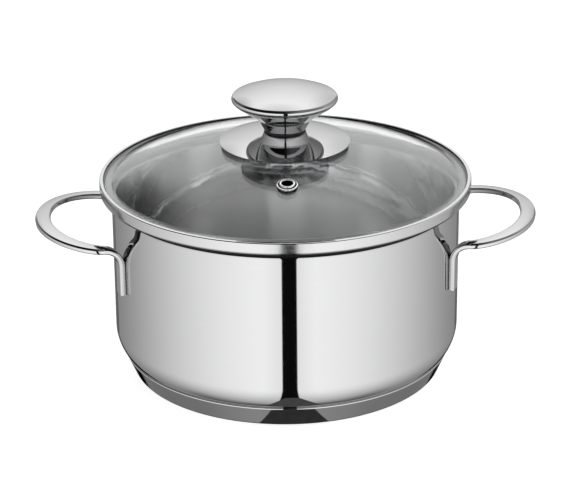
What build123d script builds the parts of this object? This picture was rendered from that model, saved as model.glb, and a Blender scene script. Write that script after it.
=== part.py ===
from build123d import *
import os
from math import acos, asin, atan, atan2, cos, degrees, hypot, pi, radians, sin, sqrt, tan

# Stainless casserole pot with a glass lid, in millimetres.
# The origin is the middle of the underside, +Z is up, and the handles point along +X and -X.

# Pot shell
pot_inner_diameter = 160.0
pot_wall = 0.7
pot_height = 88.0
bottom_corner_radius = 16.5
lip_reach = 4.1
lip_flat = 0.5

# Capsule base: an aluminium heat spreader closed in by a steel cap
base_sheet = 0.7
spreader_thickness = 4.5
base_cap_height = 10.4
base_cap_lean = 23.5
base_edge_radius = 1.5
spreader_free_rim = 1.0

# Handles
handle_thickness = 2.8
handle_edge_radius = 1.1
handle_leg_width = 6.2
handle_tip_width = 7.2
handle_reach = 35.9
handle_leg_spread = 62.2
handle_leg_bottom = 47.6
handle_arm_height = 70.7
handle_rise = 4.8
handle_bend_radius = 9.0
handle_arm_pull = 7.5
handle_tip_pull = 27.5
handle_tilt = 9.2
handle_loop_sections = 19

# Lid glass
glass_thickness = 3.5
glass_rise = 22.7
glass_flange_width = 2.1
glass_flange_blend = 8.0
glass_edge_rounding = 0.6
glass_screw_hole = 7.2

# Steel band round the glass, and the silicone that beds the glass in it
lid_seat_gap = 0.2
lid_overhang = 1.3
band_sheet = 0.4
band_height = 5.4
band_lip_width = 1.7
band_corner_radius = 1.1
band_top_radius = 0.6
skirt_depth = 4.2
skirt_clearance = 0.7
skirt_hem_width = 1.1
skirt_hem_bend = 0.6
seal_top = 0.25
seal_outer = 0.4
seal_inset = 0.3
seal_edge_clearance = 0.15

# Steam vent
vent_bore = 5.0
vent_wall = 0.5
vent_flange_diameter = 9.6
vent_rim_width = 0.6
vent_rim_height = 0.6
vent_rim_rounding = 0.25
vent_groove_slant = 0.1
vent_groove_floor = 0.35
vent_crown_diameter = 7.2
vent_crown_foot = 0.8
vent_crown_height = 1.3
vent_crown_rounding = 0.5
vent_mouth_rounding = 0.45
vent_crimp_diameter = 8.2
vent_crimp_height = 0.5
vent_gasket_lip = 0.4
vent_gasket_sleeve = 0.5
vent_distance = 46.5
vent_bearing = -90.0

# Knob
knob_diameter = 49.0
knob_sheet = 0.8
knob_rim_radius = 1.8
knob_rim_height = 14.8
knob_crown_rise = 6.5
knob_foot_diameter = 19.3
knob_foot_bend = 1.2
knob_waist_diameter = 25.2
knob_waist_height = 5.4
knob_waist_blend = 5.0
neck_ring_thickness = 0.6

# Polished disc under the knob, and the silicone collar that carries it on the glass
disc_diameter = 60.2
disc_sheet = 0.8
disc_flat_diameter = 20.8
disc_drop = 5.1
collar_height = 3.6
collar_diameter = 19.6
collar_sleeve = 0.7

# Fastening of the knob, an M5 screw from below
screw_diameter = 5.0
screw_hole_clearance = 0.25
screw_head_diameter = 9.5
screw_head_height = 3.0
screw_recess_width = 1.2
screw_recess_span = 5.6
screw_recess_depth = 1.8
nut_across_flats = 8.0
nut_height = 4.0
thread_clearance = 0.05
lower_gasket_diameter = 17.0
lower_gasket_thickness = 1.5
cup_washer_diameter = 15.0
cup_washer_thickness = 0.8
cup_washer_dish = 0.6
lock_washer_diameter = 9.2
lock_washer_thickness = 1.2
lock_washer_split = 0.9
lock_washer_slant = 30.0

# Worked-out places: pot and base
pot_bore_radius = pot_inner_diameter / 2
pot_radius = pot_bore_radius + pot_wall
lip_radius = pot_radius + lip_reach
lip_bend = lip_reach - lip_flat
shell_underside = base_sheet + spreader_thickness
corner_center = (pot_radius - bottom_corner_radius, shell_underside + bottom_corner_radius)

# Worked-out places: lid, from the pot's lip upwards
band_bottom = pot_height + lid_seat_gap
band_top = band_bottom + band_height
band_radius = lip_radius + lid_overhang
band_inner_radius = band_radius - band_sheet
band_lip_radius = band_radius - band_lip_width
skirt_radius = pot_bore_radius - skirt_clearance
skirt_bottom = band_bottom - skirt_depth
glass_flange_top = band_top - band_sheet - seal_top
glass_flange_bottom = glass_flange_top - glass_thickness
glass_edge_radius = band_inner_radius - seal_outer
glass_top = pot_height + glass_rise + lid_seat_gap

# The dome's sphere meets the blend above the flange, so its crown radius follows from both.
blend_reach = glass_edge_radius - glass_flange_width
blend_height = glass_flange_top + glass_flange_blend
blend_drop = glass_top - blend_height
glass_crown = blend_reach ** 2 + blend_drop ** 2 - glass_flange_blend ** 2
glass_crown = glass_crown / (2 * (glass_flange_blend + blend_drop))
dome_center = (0.0, glass_top - glass_crown)
blend_center = (blend_reach, blend_height)
blend_angle = atan2(blend_reach, blend_height - dome_center[1])

# Worked-out places: knob stack, from the glass upwards and downwards
screw_hole_radius = screw_diameter / 2 + screw_hole_clearance
disc_underside = glass_top + collar_height
disc_top = disc_underside + disc_sheet
knob_foot = disc_top + neck_ring_thickness
knob_floor = knob_foot + knob_sheet
knob_rim_center = (knob_diameter / 2 - knob_rim_radius, knob_foot + knob_rim_height)
knob_top = knob_rim_center[1] + knob_crown_rise
glass_underside = glass_top - glass_thickness
lower_gasket_bottom = glass_underside - lower_gasket_thickness
cup_washer_bottom = lower_gasket_bottom - cup_washer_thickness
lock_washer_bottom = cup_washer_bottom - lock_washer_thickness
screw_head_bottom = lock_washer_bottom - screw_head_height


# Drawing helpers for outlines in radius and height

def on_circle(center, radius, angle):
    """Point on a circle, with the angle measured outwards from straight up."""
    return (center[0] + radius * sin(angle), center[1] + radius * cos(angle))


def arc(center, radius, start, end):
    """Circular arc between two angles measured outwards from straight up."""
    middle = (start + end) / 2
    return ThreePointArc(
        on_circle(center, radius, start),
        on_circle(center, radius, middle),
        on_circle(center, radius, end),
    )


def round_corner(face, corner, radius):
    """Round the corner of a face that lies nearest to a point."""
    vertex = face.vertices().sort_by_distance(corner)[0]
    return fillet(vertex, radius)


def outline(*corners):
    """Closed outline from (radius, height) corners, a third number rounding that corner."""
    face = make_face(Polyline(*[(c[0], c[1]) for c in corners], close=True))
    for corner in corners:
        if len(corner) == 3:
            face = round_corner(face, corner[:2], corner[2])
    return face


def pressed_sheet(path, thickness):
    """Section of a pressed sheet along (radius, height, bend) points, thickened to the left."""
    near = [Vector(p[0], p[1]) for p in path]
    normals = []
    for start, end in zip(near, near[1:]):
        along = (end - start).normalized()
        normals.append(Vector(-along.Y, along.X))
    far = [near[0] + normals[0] * thickness]
    for before, after, corner in zip(normals, normals[1:], near[1:]):
        far.append(corner + (before + after) * (thickness / (1 + before.dot(after))))
    far.append(near[-1] + normals[-1] * thickness)
    face = make_face(Polyline(*near, *reversed(far), close=True))
    for index, point in enumerate(path):
        if len(point) == 3:
            turns_left = normals[index - 1].cross(normals[index]).Z > 0
            far_bend = point[2] - thickness if turns_left else point[2] + thickness
            face = round_corner(face, near[index], point[2])
            face = round_corner(face, far[index], far_bend)
    return face


def spin(face):
    """Turn an outline once round the pot's axis."""
    return revolve(Plane.XZ * face, Axis.Z)


def ring(inner_radius, outer_radius, bottom, top):
    """Plain ring on the pot's axis."""
    return spin(outline(
        (inner_radius, bottom), (outer_radius, bottom), (outer_radius, top), (inner_radius, top)))


# Pot and base

def corner_reach(height):
    """Radius of the shell's rounded bottom corner at a height."""
    below = corner_center[1] - height
    return corner_center[0] + sqrt(bottom_corner_radius ** 2 - below ** 2)


def make_pot_shell():
    return spin(pressed_sheet([
        (0, shell_underside),
        (pot_radius, shell_underside, bottom_corner_radius),
        (pot_radius, pot_height - pot_wall, lip_bend),
        (lip_radius, pot_height - pot_wall),
    ], pot_wall))


cap_lean = radians(base_cap_lean)
cap_inner_top = (corner_reach(base_cap_height), base_cap_height)
cap_outer_top = (
    cap_inner_top[0] + base_sheet * cos(cap_lean),
    cap_inner_top[1] - base_sheet * sin(cap_lean),
)
base_foot_radius = cap_outer_top[0] - cap_outer_top[1] * tan(cap_lean)


def cap_inner_reach(height):
    """Radius of the base cap's inner face at a height."""
    return cap_inner_top[0] - (cap_inner_top[1] - height) * tan(cap_lean)


def make_base_cap():
    return spin(pressed_sheet([
        (0, 0),
        (base_foot_radius, 0, base_edge_radius),
        cap_outer_top,
    ], base_sheet))


def make_heat_spreader():
    top = base_cap_height - spreader_free_rim
    lowest = pi
    highest = pi - acos((corner_center[1] - top) / bottom_corner_radius)
    foot = (cap_inner_reach(base_sheet), base_sheet)
    face = make_face([
        Line((0, base_sheet), foot),
        Line(foot, (cap_inner_reach(top), top)),
        Line((cap_inner_reach(top), top), (corner_reach(top), top)),
        arc(corner_center, bottom_corner_radius, highest, lowest),
        Line((corner_center[0], shell_underside), (0, shell_underside)),
        Line((0, shell_underside), (0, base_sheet)),
    ])
    return spin(round_corner(face, foot, base_edge_radius - base_sheet))


# Handles: a flat bar, bent up off the wall and round in one loop

tip_tilt = radians(handle_tilt)
leg_land = handle_leg_width - 2 * handle_edge_radius
leg_radius = pot_radius + handle_thickness / 2 - leg_land ** 2 / (8 * pot_radius)
leg_angle = asin(handle_leg_spread / 2 / leg_radius)
tip_half_land = (handle_tip_width / 2 - handle_edge_radius) * cos(tip_tilt)
tip_half_edge = (handle_thickness / 2 - handle_edge_radius) * sin(tip_tilt)
tip_center = pot_radius + handle_reach - tip_half_land - tip_half_edge - handle_edge_radius
arm_slope = handle_rise / (tip_center - leg_radius * cos(leg_angle))
bend_angle = pi / 2 - atan(arm_slope * cos(leg_angle))
bend_start = handle_arm_height - handle_bend_radius * sin(bend_angle)
arm_radius = leg_radius + handle_bend_radius * (1 - cos(bend_angle))

# Each half of the loop is a cubic curve that leaves the bend straight away from the pot's axis
# and comes to the tip square to it.
arm_way = Vector(cos(leg_angle), sin(leg_angle))
arm_end = arm_way * arm_radius
arm_guide = arm_end + arm_way * handle_arm_pull
tip_end = Vector(tip_center, 0)
tip_guide = Vector(tip_center, handle_tip_pull)


def bar_section(plane, width):
    return plane * RectangleRounded(width, handle_thickness, handle_edge_radius)


def loop_curve(share):
    """Place and direction on half of the loop, from the bend at 0 to the tip at 1."""
    rest = 1 - share
    place = arm_end * rest ** 3 + arm_guide * (3 * share * rest ** 2)
    place += tip_guide * (3 * share ** 2 * rest) + tip_end * share ** 3
    along = (arm_guide - arm_end) * rest ** 2 + (tip_guide - arm_guide) * (2 * share * rest)
    along += (tip_end - tip_guide) * share ** 2
    return place, along


def loop_section(station):
    """Section of the bar on the loop, the bends being at -1 and 1 and the tip at 0."""
    share = 1 - abs(station)
    side = -1 if station > 0 else 1
    flat, way = loop_curve(share)
    place = Vector(flat.X, side * flat.Y, handle_arm_height + arm_slope * (flat.X - arm_end.X))
    along = Vector(side * way.X, way.Y, side * arm_slope * way.X).normalized()
    across = Vector(-along.Y, along.X, 0).normalized()
    growth = sin(share * pi / 2)
    tilt = tip_tilt * growth
    tilted = across * cos(tilt) - along.cross(across) * sin(tilt)
    width = handle_leg_width + (handle_tip_width - handle_leg_width) * growth ** 2
    return bar_section(Plane(place, x_dir=tilted, z_dir=along), width)


def make_leg(side):
    """Leg and bend on one side of the loop, side being +1 or -1 along Y."""
    outwards = Vector(cos(leg_angle), side * sin(leg_angle), 0)
    across = Vector(-outwards.Y, outwards.X, 0)
    bottom = outwards * leg_radius + Vector(0, 0, handle_leg_bottom)
    top = outwards * leg_radius + Vector(0, 0, bend_start)
    pivot = outwards * (leg_radius + handle_bend_radius) + Vector(0, 0, bend_start)
    leg_face = bar_section(Plane(bottom, x_dir=across, z_dir=(0, 0, 1)), handle_leg_width)
    bend_face = bar_section(Plane(top, x_dir=across, z_dir=(0, 0, 1)), handle_leg_width)
    leg = extrude(leg_face, bend_start - handle_leg_bottom)
    bend = revolve(bend_face, Axis(pivot, across), degrees(bend_angle))
    return leg + bend


def make_handle():
    step = 2 / (handle_loop_sections - 1)
    loop = loft([loop_section(step * i - 1) for i in range(handle_loop_sections)])
    wall = Pos(0, 0, pot_height / 2) * Cylinder(pot_radius, pot_height)
    return loop + make_leg(1) + make_leg(-1) - wall


# Lid: domed glass in a rolled steel band

glass_hole_radius = glass_screw_hole / 2


def dome_frame(distance, bearing):
    """Plane on top of the glass, its Z square to the dome."""
    lean = asin(distance / glass_crown)
    height = dome_center[1] + glass_crown * cos(lean)
    turn = radians(bearing)
    outwards = Vector(cos(turn), sin(turn), 0)
    normal = outwards * sin(lean) + Vector(0, 0, cos(lean))
    across = Vector(-outwards.Y, outwards.X, 0)
    return Plane(outwards * distance + Vector(0, 0, height), x_dir=across, z_dir=normal)


vent_frame = dome_frame(vent_distance, vent_bearing)
vent_barrel_radius = vent_bore / 2 + vent_wall
vent_hole_radius = vent_barrel_radius + vent_gasket_sleeve


def make_lid_glass():
    inner_crown = glass_crown - glass_thickness
    outer_blend = glass_flange_blend + glass_thickness
    top_start = asin(glass_hole_radius / glass_crown)
    bottom_start = asin(glass_hole_radius / inner_crown)
    edge_top = (glass_edge_radius, glass_flange_top)
    edge_bottom = (glass_edge_radius, glass_flange_bottom)
    face = make_face([
        arc(dome_center, glass_crown, top_start, blend_angle),
        arc(blend_center, glass_flange_blend, pi + blend_angle, pi),
        Line((blend_reach, glass_flange_top), edge_top),
        Line(edge_top, edge_bottom),
        Line(edge_bottom, (blend_reach, glass_flange_bottom)),
        arc(blend_center, outer_blend, pi, pi + blend_angle),
        arc(dome_center, inner_crown, blend_angle, bottom_start),
        Line(
            on_circle(dome_center, inner_crown, bottom_start),
            on_circle(dome_center, glass_crown, top_start),
        ),
    ])
    face = round_corner(face, edge_top, glass_edge_rounding)
    face = round_corner(face, edge_bottom, glass_edge_rounding)
    vent_hole = vent_frame * Cylinder(vent_hole_radius, 4 * glass_thickness)
    return spin(face) - vent_hole


def make_rim_band():
    return spin(pressed_sheet([
        (skirt_radius - skirt_hem_width, skirt_bottom),
        (skirt_radius, skirt_bottom, skirt_hem_bend),
        (skirt_radius, band_bottom, band_corner_radius),
        (band_radius, band_bottom, band_corner_radius),
        (band_radius, band_top, band_top_radius),
        (band_lip_radius, band_top),
    ], band_sheet))


def make_rim_seal():
    floor_corner = band_corner_radius - band_sheet
    ceiling_corner = band_top_radius - band_sheet
    groove = glass_edge_radius + seal_edge_clearance
    lower_end = blend_reach + seal_inset
    upper_end = max(band_lip_radius, blend_reach) + seal_inset
    floor = band_bottom + band_sheet
    ceiling = band_top - band_sheet
    return spin(outline(
        (lower_end, floor),
        (band_inner_radius, floor, floor_corner),
        (band_inner_radius, ceiling, ceiling_corner),
        (upper_end, ceiling),
        (upper_end, glass_flange_top),
        (groove, glass_flange_top, glass_edge_rounding),
        (groove, glass_flange_bottom, glass_edge_rounding),
        (lower_end, glass_flange_bottom),
    ))


# Steam vent: an eyelet crimped through the glass on a silicone grommet

vent_seat = vent_gasket_lip
vent_under = -glass_thickness - vent_gasket_lip


def make_vent_eyelet():
    bore = vent_bore / 2
    flange = vent_flange_diameter / 2
    groove = flange - vent_rim_width
    crown = vent_crown_diameter / 2
    crimp = vent_crimp_diameter / 2
    rim_top = vent_seat + vent_rim_height
    top = vent_seat + vent_crown_height
    foot = vent_under - vent_crimp_height
    eyelet = spin(outline(
        (bore, foot),
        (crimp, foot, vent_crimp_height / 2),
        (crimp, vent_under),
        (vent_barrel_radius, vent_under),
        (vent_barrel_radius, vent_seat),
        (flange, vent_seat),
        (flange, rim_top, vent_rim_rounding),
        (groove, rim_top, vent_rim_rounding),
        (groove - vent_groove_slant, vent_seat + vent_groove_floor),
        (crown, vent_seat + vent_crown_foot),
        (crown, top, vent_crown_rounding),
        (bore, top, vent_mouth_rounding),
    ))
    return vent_frame * eyelet


def make_vent_gasket(glass):
    lip = vent_flange_diameter / 2 - vent_wall
    solid = vent_frame * ring(vent_barrel_radius, lip, vent_under, vent_seat)
    return solid - glass


# Knob: two steel pressings closed at the rim, on a polished disc

def make_knob_cap():
    rim_reach = knob_rim_center[0]
    inner_rim = knob_rim_radius - knob_sheet
    crown = (knob_crown_rise ** 2 + rim_reach ** 2 - knob_rim_radius ** 2)
    crown = crown / (2 * (knob_crown_rise - knob_rim_radius))
    center = (0.0, knob_top - crown)
    meet = atan2(rim_reach, knob_rim_center[1] - center[1])
    face = make_face([
        arc(center, crown, 0, meet),
        arc(knob_rim_center, knob_rim_radius, meet, pi),
        Line(
            on_circle(knob_rim_center, knob_rim_radius, pi),
            on_circle(knob_rim_center, inner_rim, pi),
        ),
        arc(knob_rim_center, inner_rim, pi, meet),
        arc(center, crown - knob_sheet, meet, 0),
        Line((0, knob_top - knob_sheet), (0, knob_top)),
    ])
    return spin(face)


def make_knob_neck():
    rim_bottom = knob_rim_center[1] - knob_rim_radius
    face = pressed_sheet([
        (screw_hole_radius, knob_foot),
        (knob_foot_diameter / 2, knob_foot, knob_foot_bend),
        (knob_waist_diameter / 2, knob_foot + knob_waist_height, knob_waist_blend),
        (knob_rim_center[0] + knob_sheet, rim_bottom),
    ], knob_sheet)
    trim = ring(knob_rim_center[0], knob_diameter, knob_foot, knob_top)
    return spin(face) - trim


def make_neck_ring():
    return ring(screw_hole_radius, knob_foot_diameter / 2, disc_top, knob_foot)


def make_knob_disc():
    inner = disc_flat_diameter / 2
    outer = disc_diameter / 2
    to_flat = ((outer ** 2 - inner ** 2) / disc_drop + disc_drop) / 2
    crown = hypot(to_flat, inner)
    center = (0.0, disc_top - to_flat)
    inner_crown = crown - disc_sheet
    start = asin(inner / crown)
    end = asin(outer / crown)
    back_start = acos((to_flat - disc_sheet) / inner_crown)
    face = make_face([
        Line((screw_hole_radius, disc_top), (inner, disc_top)),
        arc(center, crown, start, end),
        Line(on_circle(center, crown, end), on_circle(center, inner_crown, end)),
        arc(center, inner_crown, end, back_start),
        Line(on_circle(center, inner_crown, back_start), (screw_hole_radius, disc_underside)),
        Line((screw_hole_radius, disc_underside), (screw_hole_radius, disc_top)),
    ])
    return spin(face)


def make_disc_collar(glass):
    """Silicone collar between glass and disc, with a sleeve through the glass."""
    sleeve = ring(screw_hole_radius, screw_hole_radius + collar_sleeve, glass_underside, glass_top)
    body = ring(screw_hole_radius, collar_diameter / 2, glass_underside, disc_underside)
    dome = Pos(0, 0, dome_center[1]) * Sphere(glass_crown)
    return (body - dome) + sleeve


# Screw, nut and washers

def make_knob_nut():
    hexagon = RegularPolygon(nut_across_flats / 2, 6, major_radius=False)
    blank = Pos(0, 0, knob_floor) * extrude(hexagon, nut_height)
    bore = ring(0, screw_diameter / 2 + thread_clearance, knob_floor, knob_floor + nut_height)
    return blank - bore


def make_lower_gasket(glass):
    outer = lower_gasket_diameter / 2
    return ring(screw_hole_radius, outer, lower_gasket_bottom, glass_underside) - glass


def make_cup_washer():
    outer = cup_washer_diameter / 2
    return spin(outline(
        (screw_hole_radius, cup_washer_bottom),
        (outer, cup_washer_bottom, cup_washer_dish),
        (outer, lower_gasket_bottom),
        (screw_hole_radius, lower_gasket_bottom),
    ))


def make_lock_washer():
    outer = lock_washer_diameter / 2
    coil = ring(screw_hole_radius, outer, lock_washer_bottom, cup_washer_bottom)
    middle = (lock_washer_bottom + cup_washer_bottom) / 2
    split = Pos(outer, 0, middle) * Rot(lock_washer_slant, 0, 0) * Box(
        2 * outer, lock_washer_split, 4 * lock_washer_thickness)
    return coil - split


def make_knob_screw():
    tip = knob_floor + nut_height
    shank = ring(0, screw_diameter / 2, lock_washer_bottom, tip)
    rounding = screw_head_height / 2
    head = spin(outline(
        (0, screw_head_bottom),
        (screw_head_diameter / 2, screw_head_bottom, rounding),
        (screw_head_diameter / 2, lock_washer_bottom),
        (0, lock_washer_bottom),
    ))
    slot = Box(screw_recess_span, screw_recess_width, 2 * screw_recess_depth)
    recess = Pos(0, 0, screw_head_bottom) * (slot + Rot(0, 0, 90) * slot)
    return head + shank - recess


def make_all():
    handle = make_handle()
    glass = make_lid_glass()
    return {
        "pot_shell": make_pot_shell(),
        "base_heat_spreader": make_heat_spreader(),
        "base_cap": make_base_cap(),
        "handle_right": handle,
        "handle_left": mirror(handle, Plane.YZ),
        "lid_glass": glass,
        "lid_rim_band": make_rim_band(),
        "lid_rim_seal": make_rim_seal(),
        "vent_eyelet": make_vent_eyelet(),
        "vent_gasket": make_vent_gasket(glass),
        "knob_cap": make_knob_cap(),
        "knob_neck": make_knob_neck(),
        "knob_neck_ring": make_neck_ring(),
        "knob_nut": make_knob_nut(),
        "knob_disc": make_knob_disc(),
        "disc_collar": make_disc_collar(glass),
        "lower_gasket": make_lower_gasket(glass),
        "cup_washer": make_cup_washer(),
        "lock_washer": make_lock_washer(),
        "knob_screw": make_knob_screw(),
    }


os.makedirs("parts", exist_ok=True)
for name, piece in make_all().items():
    export_step(piece, f"parts/{name}.step")
    print(name, round(piece.volume, 1))
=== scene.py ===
# %% [markdown]
# # A polished steel casserole with a glass lid
#
# The pot in this lesson is pressed, turned and bent from sheet steel. Its exact sizes come from a CAD frame.
# This script dresses that frame: it turns smooth skins for every piece that shows, gives each one its finish,
# and lights the whole as a photographer lights polished metal.

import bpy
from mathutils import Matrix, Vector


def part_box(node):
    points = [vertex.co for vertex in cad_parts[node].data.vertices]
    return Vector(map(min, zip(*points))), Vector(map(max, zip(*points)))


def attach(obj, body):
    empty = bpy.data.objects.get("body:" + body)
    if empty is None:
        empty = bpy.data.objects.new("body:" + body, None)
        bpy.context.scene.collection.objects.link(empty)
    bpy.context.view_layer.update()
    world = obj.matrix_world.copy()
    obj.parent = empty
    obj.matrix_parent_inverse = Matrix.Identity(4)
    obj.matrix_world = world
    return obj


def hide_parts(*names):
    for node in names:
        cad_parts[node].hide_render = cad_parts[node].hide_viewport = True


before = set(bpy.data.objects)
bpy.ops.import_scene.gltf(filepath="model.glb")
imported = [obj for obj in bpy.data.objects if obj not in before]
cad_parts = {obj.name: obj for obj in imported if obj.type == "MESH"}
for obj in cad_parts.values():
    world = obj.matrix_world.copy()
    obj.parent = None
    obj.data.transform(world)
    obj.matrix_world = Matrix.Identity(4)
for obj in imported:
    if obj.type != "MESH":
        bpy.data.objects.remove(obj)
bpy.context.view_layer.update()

from math import acos, asin, atan, atan2, ceil, cos, degrees, hypot, pi, radians, sin, sqrt, tan

import bpy
import bmesh
from mathutils import Matrix, Quaternion, Vector

MM = 0.001

# %% [markdown]
# ## Drawing sections
#
# Nearly every piece of a pot is round, so it is drawn as half a section, in radius and height, and turned.
# A section has only the corners that its shape needs. A third number on a corner rounds it, as a press tool
# does. Rounding in code, and not with a bevel modifier, keeps each bend at its real radius.

# %% Rounded sections
ARC_STEP = radians(4)
FEWEST_STEPS = 4
STRAIGHT = radians(89.9)
FULLEST_EDGE = 0.95


def on_circle(center, radius, angle):
    """Point on a circle, with the angle measured outwards from straight up."""
    return Vector((center[0] + radius * sin(angle), center[1] + radius * cos(angle)))


def arc(center, radius, start, end):
    """Points along a circle between two such angles."""
    steps = max(FEWEST_STEPS, ceil(abs(end - start) / ARC_STEP))
    return [on_circle(center, radius, start + (end - start) * i / steps) for i in range(steps + 1)]


def rounded(corners):
    """Closed outline through (radius, height, rounding) corners."""
    points = []
    for index, corner in enumerate(corners):
        here = Vector(corner[:2])
        rounding = corner[2] if len(corner) == 3 else 0
        before = (Vector(corners[index - 1][:2]) - here).normalized()
        after = (Vector(corners[(index + 1) % len(corners)][:2]) - here).normalized()
        half = acos(max(-1, min(1, before.dot(after)))) / 2
        if rounding == 0 or half > STRAIGHT:
            points.append(here)
            continue
        center = here + (before + after).normalized() * (rounding / sin(half))
        first = here + before * (rounding / tan(half)) - center
        sweep = pi - 2 * half
        if before.cross(after) > 0:
            sweep = -sweep
        steps = max(FEWEST_STEPS, ceil(abs(sweep) / ARC_STEP))
        for i in range(steps + 1):
            turn = Matrix.Rotation(sweep * i / steps, 2)
            points.append(center + turn @ first)
    return points


def pressed(path, thickness, edge):
    """Outline of a pressed sheet along (radius, height, bend) points, thickened to the left."""
    near = [Vector(p[:2]) for p in path]
    normals = []
    for start, end in zip(near, near[1:]):
        along = (end - start).normalized()
        normals.append(Vector((-along.y, along.x)))
    far = [near[0] + normals[0] * thickness]
    for before, after, corner in zip(normals, normals[1:], near[1:]):
        far.append(corner + (before + after) * (thickness / (1 + before.dot(after))))
    far.append(near[-1] + normals[-1] * thickness)
    near_corners = []
    far_corners = []
    for index, point in enumerate(path):
        at_end = index in (0, len(path) - 1)
        bend = edge if len(point) == 2 else point[2]
        if at_end and near[index].x == 0:
            bend = 0
        far_bend = min(bend, FULLEST_EDGE * thickness - bend)
        if not at_end:
            turns_left = normals[index - 1].cross(normals[index]) > 0
            far_bend = bend - thickness if turns_left else bend + thickness
        near_corners.append((*near[index], bend))
        far_corners.append((*far[index], far_bend))
    return rounded(near_corners + far_corners[::-1])


print("sections are drawn with arcs of", round(degrees(ARC_STEP)), "degrees a step")

# %% [markdown]
# ## Turning
#
# A section becomes a solid when it is spun once round the pot's axis. Blender's Screw modifier could do this,
# but a mirror finish shows every fault in the normals, so the rings are written out directly. Each piece is
# then shaded smooth, its true corners are marked sharp, and a Weighted Normal modifier keeps the flats flat.
# A sheet often has another finish on each side, so a piece can also choose a finish for each of its faces.

# %% Turned pieces
TURN_STEPS = 288
CORNER_ANGLE = radians(32)
ON_AXIS = 1e-7


def placed(name, data):
    """Make an object from its data and put it in the scene."""
    made = bpy.data.objects.new(name, data)
    bpy.context.scene.collection.objects.link(made)
    return made


def finish_mesh(name, vertices, faces, finish):
    """Make a smooth object from plain lists, with its normals turned outwards."""
    mesh = bpy.data.meshes.new(name)
    mesh.from_pydata(vertices, [], faces)
    shape = bmesh.new()
    shape.from_mesh(mesh)
    bmesh.ops.recalc_face_normals(shape, faces=shape.faces)
    shape.to_mesh(mesh)
    shape.free()
    mesh.shade_smooth()
    mesh.set_sharp_from_angle(angle=CORNER_ANGLE)
    mesh.materials.append(finish)
    return placed(name, mesh)


def keep_flats(piece):
    """Let the larger faces set the normals, so that flats stay flat beside their bends."""
    weighted = piece.modifiers.new("flats stay flat", "WEIGHTED_NORMAL")
    weighted.keep_sharp = True
    return piece


def turned(name, section, finish):
    """Spin a closed section once round the Z axis."""
    vertices = []
    rings = []
    for radius, height in section:
        if radius < ON_AXIS:
            rings.append([len(vertices)] * TURN_STEPS)
            vertices.append((0, 0, height))
            continue
        rings.append(range(len(vertices), len(vertices) + TURN_STEPS))
        for step in range(TURN_STEPS):
            angle = 2 * pi * step / TURN_STEPS
            vertices.append((radius * cos(angle), radius * sin(angle), height))
    faces = []
    for lower, upper in zip(rings, rings[1:] + rings[:1]):
        for step in range(TURN_STEPS):
            other = (step + 1) % TURN_STEPS
            loop = [lower[step], lower[other], upper[other], upper[step]]
            loop = list(dict.fromkeys(loop))
            if len(loop) > 2:
                faces.append(loop)
    return keep_flats(finish_mesh(name, vertices, faces, finish))


def looks_inwards(face, least):
    """Whether a face leans towards the axis by at least this much."""
    return face.normal.to_2d().dot(face.center.to_2d().normalized()) < -least


def refinish(piece, finishes, choose):
    """Let a piece choose one of several finishes for each face."""
    piece.data.materials.clear()
    for finish in finishes:
        piece.data.materials.append(finish)
    for face in piece.data.polygons:
        face.material_index = finishes.index(choose(face))


print("turned pieces have", TURN_STEPS, "steps round")

# %% [markdown]
# ## Node helpers
#
# A procedural finish is a small sum of textures. Writing node links by hand hides that sum, so this helper
# lets a finish be written almost as arithmetic.

# %% A small wiring bench
NEARLY_ZERO = 0.001
NOISE_MIDDLE = (0.3, 0.7)
NOISE_WHOLE = (0.0, 1.0)


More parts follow.
